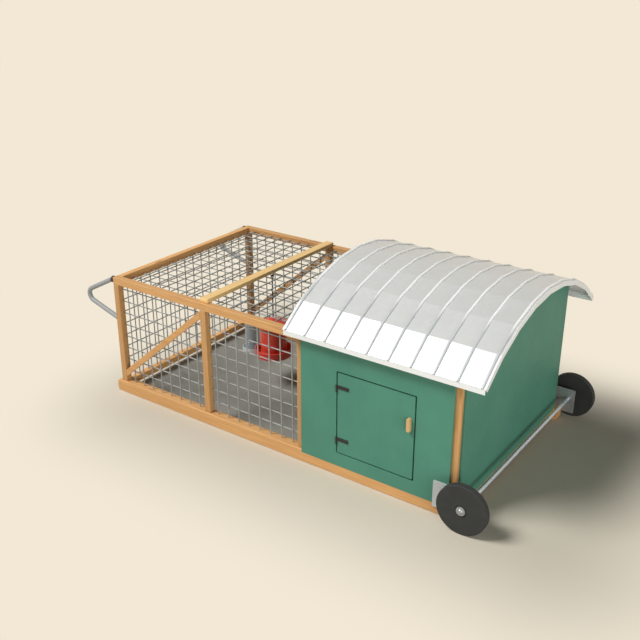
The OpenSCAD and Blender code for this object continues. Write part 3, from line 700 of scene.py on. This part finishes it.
def dress(node: str, finish: Finish) -> None:
    """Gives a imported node, shown as it is, its finish.

    Args:
        node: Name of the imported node.
        finish: Its finish.
    """
    mesh = bpy.data.objects[node].data
    mesh.materials.clear()
    mesh.materials.append(finish.material())
    LOG.info("%s: kept, %s", node, finish.name)


def eased_copy(node: str, name: str, ease: float, finish: Finish, body: str = "frame") -> None:
    """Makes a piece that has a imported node's shape with eased edges, and stands for that node."""
    Piece().copy_of(node).ease(ease).done(name, finish, body, node)


# Sub-assemblies


@dataclass
class GroundFrame:
    """Two skids with the sills between them and the mat inside the run."""

    skid_ease: float = 2.5 * MM
    sill_ease: float = 3 * MM
    mat_ease: float = 1 * MM

    def build(self) -> None:
        """Models the skids, the sills and the mat."""
        for side in Side:
            node = f"{side.word}_skid"
            eased_copy(node, f"{node}_beam", self.skid_ease, Finishes.PINE[Grain.X])
        for node in ("run_end_sill", "coop_front_sill", "coop_rear_sill"):
            sill = Piece().board(*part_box(node), self.sill_ease)
            sill.done(f"{node}_beam", Finishes.PINE[Grain.Y], "frame", node)
        eased_copy("run_mat", "run_mat_sheet", self.mat_ease, Finishes.MAT)


@dataclass
class TimberFrame:
    """Posts, rails, braces and the flat batten of the run."""

    ease: float = 3 * MM

    def timber(self, node: str, finish: Finish) -> None:
        """Models one straight timber in the place of its node."""
        Piece().board(*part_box(node), self.ease).done(f"{node}_timber", finish, "frame", node)

    def build(self) -> None:
        """Models every post, rail and brace, and the batten."""
        for side in Side:
            for post in ("corner", "mid", "coop", "rear"):
                self.timber(f"{side.word}_{post}_post", Finishes.PINE[Grain.Z])
            self.timber(f"{side.word}_top_rail", Finishes.PINE[Grain.X])
            node = f"{side.word}_brace"
            eased_copy(node, f"{node}_timber", self.ease, Finishes.PINE[Grain.X])
        for rail in ("run_end_rail", "coop_front_rail", "coop_rear_rail"):
            self.timber(rail, Finishes.PINE[Grain.Y])
        self.timber("cross_batten", Finishes.PALE_PINE[Grain.Y])


@dataclass(frozen=True)
class Bay:
    """One bay of mesh: the ends of its wires in two directions, and their places."""

    first_ends: Span
    second_ends: Span
    first_places: Sequence[float]
    second_places: Sequence[float]


@dataclass
class WeldedMesh:
    """Four sheets of welded wire: two layers of wires that are pressed together where they cross."""

    pitch: float = 76 * MM
    radius: float = 3.5 * MM
    press: float = 0.5 * MM
    lift: float = 71 * MM
    sides: int = 8
    weld_share: float = 1.15

    def spots(self, start: float, end: float) -> list[float]:
        """Places an even number of wires at the pitch, centred between two ends.

        Args:
            start: First end.
            end: Other end.

        Returns:
            Places of the wires.
        """
        count = 2 * math.floor((end - start) / self.pitch / 2 + 0.5)
        return [(start + end) / 2 + (i - (count - 1) / 2) * self.pitch for i in range(count)]

    def rows(self, base: float, top: float) -> list[float]:
        """Places the level wires between the skid and the rail.

        Args:
            base: Height of the skid's top.
            top: Height of the rail's underside.

        Returns:
            Heights of the wires.
        """
        first = base + self.lift
        count = math.floor((top - first - 2 * self.radius) / self.pitch) + 1
        return [first + i * self.pitch for i in range(count)]

    def weave(self, sheet: Piece, corner: Vector, a: Vector, b: Vector, out: Vector, bay: Bay) -> None:
        """Adds one bay: wires along a, wires along b in front of them, and a weld at each crossing.

        Args:
            sheet: Sheet that gets the wires.
            corner: Point from which a and b are measured.
            a: Unit direction of the first wires.
            b: Unit direction of the second wires.
            out: Step from the first layer to the second.
            bay: Ends of the wires, places of the first wires along b and of the second along a.
        """
        for place in bay.first_places:
            start, end = (corner + b * place + a * reach for reach in bay.first_ends)
            sheet.rod(start, end, self.radius, self.sides)
        for place in bay.second_places:
            start, end = (corner + a * place + out + b * reach for reach in bay.second_ends)
            sheet.rod(start, end, self.radius, self.sides)
        for u in bay.second_places:
            for v in bay.first_places:
                sheet.bead(corner + a * u + b * v + out / 2, self.radius * self.weld_share)

    def build(self) -> None:
        """Models the sheets on both sides, at the run's end and on its top."""
        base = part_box("near_skid")[1].z
        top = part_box("near_top_rail")[0].z
        rail_mid = (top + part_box("near_top_rail")[1].z) / 2
        first = (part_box("near_corner_post")[1].x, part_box("near_mid_post")[0].x)
        second = (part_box("near_mid_post")[1].x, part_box("near_coop_post")[0].x)
        rows = self.rows(base, top)
        step = 2 * self.radius - self.press
        for side in Side:
            node = f"{side.word}_mesh"
            low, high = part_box(node)
            layer = low.y + self.radius if side is Side.NEAR else high.y - self.radius
            sheet = Piece()
            for ends in (first, second):
                bay = Bay((base, top), ends, self.spots(*ends), rows)
                self.weave(sheet, Y_AXIS * layer, Z_AXIS, X_AXIS, -side.value * step * Y_AXIS, bay)
            sheet.done(f"{node}_wires", Finishes.WIRE, "frame", node)
        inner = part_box("near_corner_post")[1].y
        across = self.spots(inner, -inner)
        sheet = Piece()
        corner = X_AXIS * (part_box("end_mesh")[0].x + self.radius)
        bay = Bay((base, top), (inner, -inner), across, rows)
        self.weave(sheet, corner, Z_AXIS, Y_AXIS, step * X_AXIS, bay)
        sheet.done("end_mesh_wires", Finishes.WIRE, "frame", "end_mesh")
        sheet = Piece()
        along = self.spots(*first) + self.spots(*second)
        bay = Bay((inner, -inner), (first[0], second[1]), along, across)
        self.weave(sheet, Z_AXIS * rail_mid, Y_AXIS, X_AXIS, -step * Z_AXIS, bay)
        sheet.done("top_mesh_wires", Finishes.WIRE, "frame", "top_mesh")


@dataclass
class CoopWalls:
    """Painted plywood walls, the floor and the perch."""

    ease: float = 1.5 * MM
    stop_ease: float = 1.5 * MM
    floor_ease: float = 1 * MM

    def build(self) -> None:
        """Models the walls, the door stops and the floor, and keeps the perch."""
        for node in ("near_side_panel", "far_side_panel", "rear_panel", "front_panel"):
            eased_copy(node, f"{node}_ply", self.ease, Finishes.GREEN)
        # The stops' deeper green is painted shade for the door's gap
        eased_copy("door_stops", "door_stop_battens", self.stop_ease, Finishes.GAP_SHADE_GREEN)
        eased_copy("coop_floor", "coop_floor_ply", self.floor_ease, Finishes.PALE_PINE[Grain.X])
        dress("perch", Finishes.PINE[Grain.Y])


@dataclass
class Roof:
    """Arched sheet with standing seams, folded trims and purlins."""

    seam_ease: float = 5 * MM
    seam_facets: int = 5
    trim_ease: float = 1 * MM
    purlin_ease: float = 2 * MM

    def build(self) -> None:
        """Models the seams, the trims and the purlins, and keeps the folded sheet."""
        dress("roof_sheet", Finishes.ROOF)
        seams = Piece().copy_of("roof_seams").ease_top(self.seam_ease, self.seam_facets)
        seams.done("roof_standing_seams", Finishes.SEAM, "frame", "roof_seams")
        eased_copy("roof_trims", "roof_edge_trims", self.trim_ease, Finishes.TRIM)
        eased_copy("roof_purlins", "roof_purlin_timbers", self.purlin_ease, Finishes.PINE[Grain.X])


@dataclass
class SideDoor:
    """Door of the coop with its strap hinges and the wooden pull that turns its tongue."""

    panel_ease: float = 1.5 * MM
    strap_ease: float = 0.8 * MM
    strap_half: float = 10 * MM
    strap_thick: float = 3 * MM
    eye_radius: float = 5 * MM
    pull_ease: float = 6 * MM
    pull_facets: int = 4
    pull_edge: float = 40
    screw_radius: float = 3.6 * MM
    screw_height: float = 1.4 * MM
    screw_places: Span = (26 * MM, 56 * MM)
    screw_steps: int = 16
    dome_shares: tuple[Span, ...] = ((0.0, 0.0), (1.0, 0.0), (0.85, 0.6), (0.45, 1.0), (0.0, 1.0))

    def screws(self) -> Piece:
        """Turns the round-headed screws that hold each strap, at distances from the hinge pin.

        Returns:
            The screws, in place on the straps.
        """
        low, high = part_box("hinge_straps")
        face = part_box("door_panel")[0].y - self.strap_thick
        dome = [(self.screw_radius * r, self.screw_height * h) for r, h in self.dome_shares]
        made = Piece()
        for height in (low.z + self.strap_half, high.z - self.strap_half):
            for reach in self.screw_places:
                place = Vector((low.x + self.eye_radius + reach, face, height))
                made.lathe(dome, place, -Y_AXIS, self.screw_steps)
        return made

    def build(self) -> None:
        """Models the door, its straps, its pintles and its pull, and keeps the tongue."""
        eased_copy("door_panel", "door_panel_ply", self.panel_ease, Finishes.GREEN, "door")
        eased_copy("hinge_straps", "door_hinge_straps", self.strap_ease, Finishes.BLACK, "door")
        self.screws().done("door_hinge_screws", Finishes.BLACK, "door")
        eased_copy("hinge_pintles", "door_hinge_pintles", self.strap_ease, Finishes.BLACK)
        pull = Piece().copy_of("door_pull").ease(self.pull_ease, self.pull_facets, self.pull_edge)
        pull.done("door_wooden_pull", Finishes.TURNED, "latch", "door_pull")
        dress("latch_tongue", Finishes.ZINC)


@dataclass
class RunningGear:
    """Axle with its plates, spacers and caps, and the two moulded wheels."""

    radius: float = 132 * MM
    half_width: float = 18 * MM
    shoulder: float = 2.5 * MM
    hub: float = 23.5 * MM
    recess: float = 30 * MM
    recess_depth: float = 2 * MM
    bore: float = 10.55 * MM
    wheel_steps: int = 96
    wheel_ease: float = 0.5 * MM
    wheel_edge: float = 35
    plate_ease: float = 2 * MM
    cap_ease: float = 0.8 * MM

    def face(self) -> list[Span]:
        """Outline of one face of a wheel, from its bore to its tread.

        Returns:
            Distances from the axle and from the middle of the wheel.
        """
        w, deep = self.half_width, self.half_width - self.recess_depth
        return [
            (self.bore, w),
            (self.hub, w),
            (self.hub, deep),
            (self.recess, deep),
            (self.recess, w),
            (self.radius - self.shoulder, w),
            (self.radius, w - self.shoulder),
        ]

    def wheel(self, side: Side) -> None:
        """Turns one wheel with a hub recess and bevelled shoulders.

        Args:
            side: Side of the tractor.
        """
        node = f"{side.word}_wheel"
        low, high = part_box(node)
        outer = self.face()
        inner = [(r, -h) for r, h in reversed(outer)]
        made = Piece().lathe(outer + inner, (low + high) / 2, Y_AXIS, self.wheel_steps)
        made.ease(self.wheel_ease, angle=self.wheel_edge)
        made.done(f"{node}_tyre", Finishes.RUBBER, node, node)

    def build(self) -> None:
        """Models the wheels, the plates, the bolts, the spacers and the caps, and keeps the axle."""
        for side in Side:
            self.wheel(side)
            plate = f"{side.word}_axle_plate"
            # The near plate is painted paler than the far one, as the light and shade that fall on them
            finish = Finishes.PLATE if side is Side.NEAR else Finishes.ZINC
            eased_copy(plate, f"{plate}_steel", self.plate_ease, finish)
        for node in ("plate_bolts", "axle_spacers", "axle_caps"):
            eased_copy(node, f"{node}_steel", self.cap_ease, Finishes.ZINC)
        dress("axle", Finishes.BRIGHT)


@dataclass
class LiftingHandles:
    """Two bent tubes at the run's end, each with a flange on the rail."""

    tube_radius: float = 14 * MM
    tube_sides: int = 24
    apex_reach: float = 312 * MM
    apex_height: float = 577 * MM
    foot_height: float = 480 * MM
    bend: float = 42 * MM
    bend_steps: int = 12
    flange_ease: float = 3 * MM
    flange_facets: int = 3

    def handle(self, side: Side) -> None:
        """Bends one tube: an upper arm, the bend and a lower arm that ends at the post.

        Args:
            side: Side of the tractor.
        """
        node = f"{side.word}_handle"
        post_low, post_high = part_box(f"{side.word}_corner_post")
        flange_low, flange_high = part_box("handle_flanges")
        middle = (post_low.y + post_high.y) / 2
        apex = Vector((post_low.x - self.apex_reach, middle, self.apex_height))
        upper = Vector((flange_low.x, middle, (flange_low.z + flange_high.z) / 2))
        lower = Vector((post_low.x, middle, self.foot_height))
        up, down = (upper - apex).normalized(), (lower - apex).normalized()
        half = up.angle(down) / 2
        skip = self.bend / math.tan(half)
        centre = apex + (up + down).normalized() * self.bend / math.sin(half)
        made = Piece()
        turn = up.to_track_quat("Z", "Y").to_matrix().to_4x4()
        place = Matrix.Translation(upper) @ turn
        bmesh.ops.create_circle(made.bm, segments=self.tube_sides, radius=self.tube_radius, matrix=place)
        ring = self.draw(made, made.bm.edges, -up * ((upper - apex).length - skip))
        axis = up.cross(down).normalized()
        angle = 2 * half - math.pi
        swept = bmesh.ops.spin(made.bm, geom=ring, cent=centre, axis=axis, angle=angle, steps=self.bend_steps)
        ring = [part for part in swept["geom_last"] if isinstance(part, bmesh.types.BMEdge)]
        self.draw(made, ring, down * ((lower - apex).length - skip))
        bmesh.ops.holes_fill(made.bm, edges=[e for e in made.bm.edges if e.is_boundary], sides=0)
        made.close()
        made.done(f"{node}_tube", Finishes.TUBE, "frame", node)

    @staticmethod
    def draw(made: Piece, ring: Iterable[Any], reach: Vector) -> list[Any]:
        """Draws a ring of edges out into a straight tube.

        Args:
            made: Piece that has the ring.
            ring: Edges of the ring.
            reach: Direction and length of the tube.

        Returns:
            Edges at the tube's new end.
        """
        grown = bmesh.ops.extrude_edge_only(made.bm, edges=list(ring))["geom"]
        verts = {part for part in grown if isinstance(part, bmesh.types.BMVert)}
        bmesh.ops.translate(made.bm, vec=reach, verts=list(verts))
        edges = [part for part in grown if isinstance(part, bmesh.types.BMEdge)]
        return [edge for edge in edges if verts.issuperset(edge.verts)]

    def build(self) -> None:
        """Models both handles and their flanges."""
        for side in Side:
            self.handle(side)
        flanges = Piece().copy_of("handle_flanges").ease(self.flange_ease, self.flange_facets)
        flanges.done("handle_flange_collars", Finishes.BLACK, "frame", "handle_flanges")


@dataclass
class Feeder:
    """Red hanging feeder: tray, hopper and lid on a rod under a screw eye."""

    ease: float = 1 * MM
    rim: float = 3.2 * MM
    rib: float = 1.6 * MM
    rib_shares: Triple = (0.05, 0.35, 0.65)
    lid_rim: float = 2.4 * MM

    def ringed(self, node: str, rings: Iterable[Triple]) -> Piece:
        """Takes over a moulding and adds its rolled rims and ribs.

        Args:
            node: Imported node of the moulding.
            rings: Radius, height and thickness of each ring.

        Returns:
            The moulding in the making.
        """
        low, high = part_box(node)
        middle = (low + high) / 2
        made = Piece().copy_of(node).ease(self.ease)
        for radius, height, thickness in rings:
            made.ring(Vector((middle.x, middle.y, height)), Z_AXIS, radius, thickness)
        return made

    def build(self) -> None:
        """Models the mouldings, and keeps the rod and the eye."""
        low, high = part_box("feeder_tray")
        edge = (high.x - low.x) / 2 - self.rim / 2
        tray = self.ringed("feeder_tray", [(edge, high.z - self.rim / 2, self.rim)])
        tray.done("feeder_tray_moulding", Finishes.RED, "feeder", "feeder_tray")
        low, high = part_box("feeder_hopper")
        edge = (high.x - low.x) / 2
        ribs = [(edge, low.z + share * (high.z - low.z), self.rib) for share in self.rib_shares]
        hopper = self.ringed("feeder_hopper", ribs)
        hopper.done("feeder_hopper_moulding", Finishes.RED, "feeder", "feeder_hopper")
        low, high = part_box("feeder_lid")
        edge = (high.x - low.x) / 2 - self.rib
        lid = self.ringed("feeder_lid", [(edge, low.z + self.rib, self.lid_rim)])
        lid.done("feeder_lid_moulding", Finishes.RED, "feeder_lid", "feeder_lid")
        dress("feeder_rod", Finishes.BLACK)
        dress("feeder_eye", Finishes.BLACK)


@dataclass
class Drinker:
    """Galvanised drinker: an upturned can in its dish."""

    ease: float = 0.6 * MM
    rim: float = 2 * MM
    swage: float = 1.6 * MM
    swage_shares: Span = (0.3, 0.78)

    def build(self) -> None:
        """Models the dish with a wired edge and the can with its swaged rings."""
        low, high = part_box("drinker_dish")
        middle = (low + high) / 2
        dish = Piece().copy_of("drinker_dish").ease(self.ease)
        dish.ring(Vector((middle.x, middle.y, high.z)), Z_AXIS, (high.x - low.x) / 2 - self.rim / 2, self.rim)
        # The dish's near-white colour is a painted highlight
        dish.done("drinker_dish_pan", Finishes.PAN, "frame", "drinker_dish")
        low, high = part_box("drinker_can")
        can = Piece().copy_of("drinker_can")
        for share in self.swage_shares:
            height = low.z + share * (high.z - low.z)
            can.ring(Vector((middle.x, middle.y, height)), Z_AXIS, (high.x - low.x) / 2, self.swage)
        can.done("drinker_can_shell", Finishes.DULL, "frame", "drinker_can")


# Studio


@dataclass
class Studio:
    """Floor, painted darker near the object as shade, that fades into its pale backdrop; soft lamps and the
    camera.
    """

    # Painted shade: the floor is darker than the backdrop within the patch round the object, and fades to the
    # backdrop beyond it
    floor: str = "#CAC2B1"
    floor_roughness: float = 0.9
    floor_half: float = 120.0
    backdrop: str = "#F2E8D5"
    patch_low: Triple = (-0.75, -0.56, 0.0)
    patch_high: Triple = (1.6, 0.6, 0.0)
    fade: float = 1.0
    world_strength: float = 0.08
    lamp_aim: Triple = (0.0, 0.0, 0.4)
    key_way: Triple = (-0.42, -0.47, 0.77)
    key_reach: float = 24.0
    key_size: Span = (10.0, 7.6)
    key_power: float = 5650.0
    fill_way: Triple = (0.84, -0.5, 0.14)
    fill_reach: float = 8.0
    fill_size: Span = (4.0, 2.8)
    fill_power: float = 270.0
    camera_place: Triple = (2.71408, -3.9021, 2.6026)
    camera_turn: Span = (66.51, 35.46)
    lens: float = 50.0
    sensor: float = 36.0

    def seen(self, tree: Tree) -> Socket:
        """Adds the share of rays that see the backdrop: camera, glossy and transmission rays.

        Args:
            tree: Node tree of the floor or the world.

        Returns:
            1 for such a ray and 0 for any other.
        """
        path = add_node(tree, "ShaderNodeLightPath").outputs
        sockets = [path["Is Camera Ray"], path["Is Glossy Ray"]]
        first = add_node(tree, "ShaderNodeMath", sockets, operation="MAXIMUM").outputs[0]
        sockets = [first, path["Is Transmission Ray"]]
        return add_node(tree, "ShaderNodeMath", sockets, operation="MAXIMUM").outputs[0]

    def beyond_patch(self, tree: Tree, place: Socket) -> Socket:
        """Adds the distance from the patch of floor that holds the object and its shadow.

        Args:
            tree: Node tree of the floor.
            place: Object coordinates, in metres.

        Returns:
            The distance, which is 0 inside the patch.
        """
        low, high = Vector(self.patch_low), Vector(self.patch_high)
        steps = (
            ("SUBTRACT", [(low + high) / 2]),
            ("ABSOLUTE", []),
            ("SUBTRACT", [(high - low) / 2]),
            ("MAXIMUM", [Vector((0, 0, 0))]),
        )
        reach = place
        for operation, other in steps:
            reach = add_node(tree, "ShaderNodeVectorMath", [reach, *other], operation=operation).outputs[0]
        return add_node(tree, "ShaderNodeVectorMath", [reach], operation="LENGTH").outputs["Value"]

    def lay_floor(self) -> None:
        """Lays the floor, which keeps the shadow near the object and becomes the backdrop further out. Within
        the patch it is painted darker than the backdrop, as shade round the object.
        """
        bm = bmesh.new()
        bmesh.ops.create_grid(bm, x_segments=1, y_segments=1, size=self.floor_half)
        mesh = bpy.data.meshes.new("studio_floor")
        bm.to_mesh(mesh)
        bm.free()
        paper = bpy.data.materials.new("studio_paper")
        paper.use_nodes = True
        tree = paper.node_tree
        shader = tree.nodes["Principled BSDF"]
        shader.inputs["Base Color"].default_value = linear(self.floor)
        shader.inputs["Roughness"].default_value = self.floor_roughness
        shader.inputs["Specular IOR Level"].default_value = 0.0
        place = add_node(tree, "ShaderNodeTexCoord").outputs["Object"]
        sockets = [self.beyond_patch(tree, place), 0.0, self.fade, 0.0, 1.0]
        share = add_node(tree, "ShaderNodeMapRange", sockets, **SMOOTH).outputs[0]
        factor = add_node(tree, "ShaderNodeMath", [share, self.seen(tree)], operation="MULTIPLY").outputs[0]
        glow = add_node(tree, "ShaderNodeEmission", {"Color": linear(self.backdrop), "Strength": 1.0})
        mixed = add_node(tree, "ShaderNodeMixShader", [factor, shader.outputs[0], glow.outputs[0]])
        tree.links.new(mixed.outputs[0], tree.nodes["Material Output"].inputs["Surface"])
        mesh.materials.append(paper)
        floor = bpy.data.objects.new("studio_floor", mesh)
        bpy.context.scene.collection.objects.link(floor)

    def light_world(self) -> None:
        """Lights the world evenly, and shows it as the backdrop."""
        world = bpy.data.worlds.new("studio_world")
        bpy.context.scene.world = world
        world.use_nodes = True
        tree = world.node_tree
        light = tree.nodes["Background"]
        light.inputs["Color"].default_value = (1.0, 1.0, 1.0, 1.0)
        light.inputs["Strength"].default_value = self.world_strength
        shown = add_node(tree, "ShaderNodeBackground", {"Color": linear(self.backdrop), "Strength": 1.0})
        mixed = add_node(tree, "ShaderNodeMixShader", [self.seen(tree), light.outputs[0], shown.outputs[0]])
        tree.links.new(mixed.outputs[0], tree.nodes["World Output"].inputs["Surface"])

    def hang_lamp(self, name: str, way: Triple, reach: float, size: Span, power: float) -> None:
        """Hangs one rectangular lamp that faces the object.

        Args:
            name: Name of the lamp.
            way: Direction from the object to the lamp.
            reach: Distance of the lamp.
            size: Width and height of the lamp.
            power: Its power in watts.
        """
        data = bpy.data.lights.new(name, "AREA")
        data.shape = "RECTANGLE"
        data.size, data.size_y = size
        data.energy = power
        lamp = bpy.data.objects.new(name, data)
        direction = Vector(way).normalized()
        lamp.location = Vector(self.lamp_aim) + direction * reach
        lamp.rotation_euler = direction.to_track_quat("Z", "Y").to_euler()
        lamp.visible_camera = False
        bpy.context.scene.collection.objects.link(lamp)

    def set_camera(self) -> None:
        """Sets the camera at the photograph's viewing angle."""
        data = bpy.data.cameras.new("camera")
        data.lens = self.lens
        data.sensor_width = self.sensor
        camera = bpy.data.objects.new("camera", data)
        camera.location = self.camera_place
        tilt, turn = self.camera_turn
        camera.rotation_euler = (math.radians(tilt), 0.0, math.radians(turn))
        bpy.context.scene.collection.objects.link(camera)
        bpy.context.scene.camera = camera

    def build(self) -> None:
        """Sets up the camera, the floor and the light."""
        self.set_camera()
        self.lay_floor()
        self.light_world()
        self.hang_lamp("key_lamp", self.key_way, self.key_reach, self.key_size, self.key_power)
        self.hang_lamp("fill_lamp", self.fill_way, self.fill_reach, self.fill_size, self.fill_power)
        bpy.context.scene.view_settings.view_transform = "Standard"


def main() -> None:
    """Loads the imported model, builds every sub-assembly around it and sets up the studio."""
    logging.basicConfig(level=logging.INFO, format="%(name)s: %(message)s")
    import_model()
    structure = (GroundFrame, TimberFrame, WeldedMesh, CoopWalls, Roof, SideDoor)
    fittings = (RunningGear, LiftingHandles, Feeder, Drinker)
    for assembly in (Studio, *structure, *fittings):
        assembly().build()


if __name__ == "__main__":
    main()
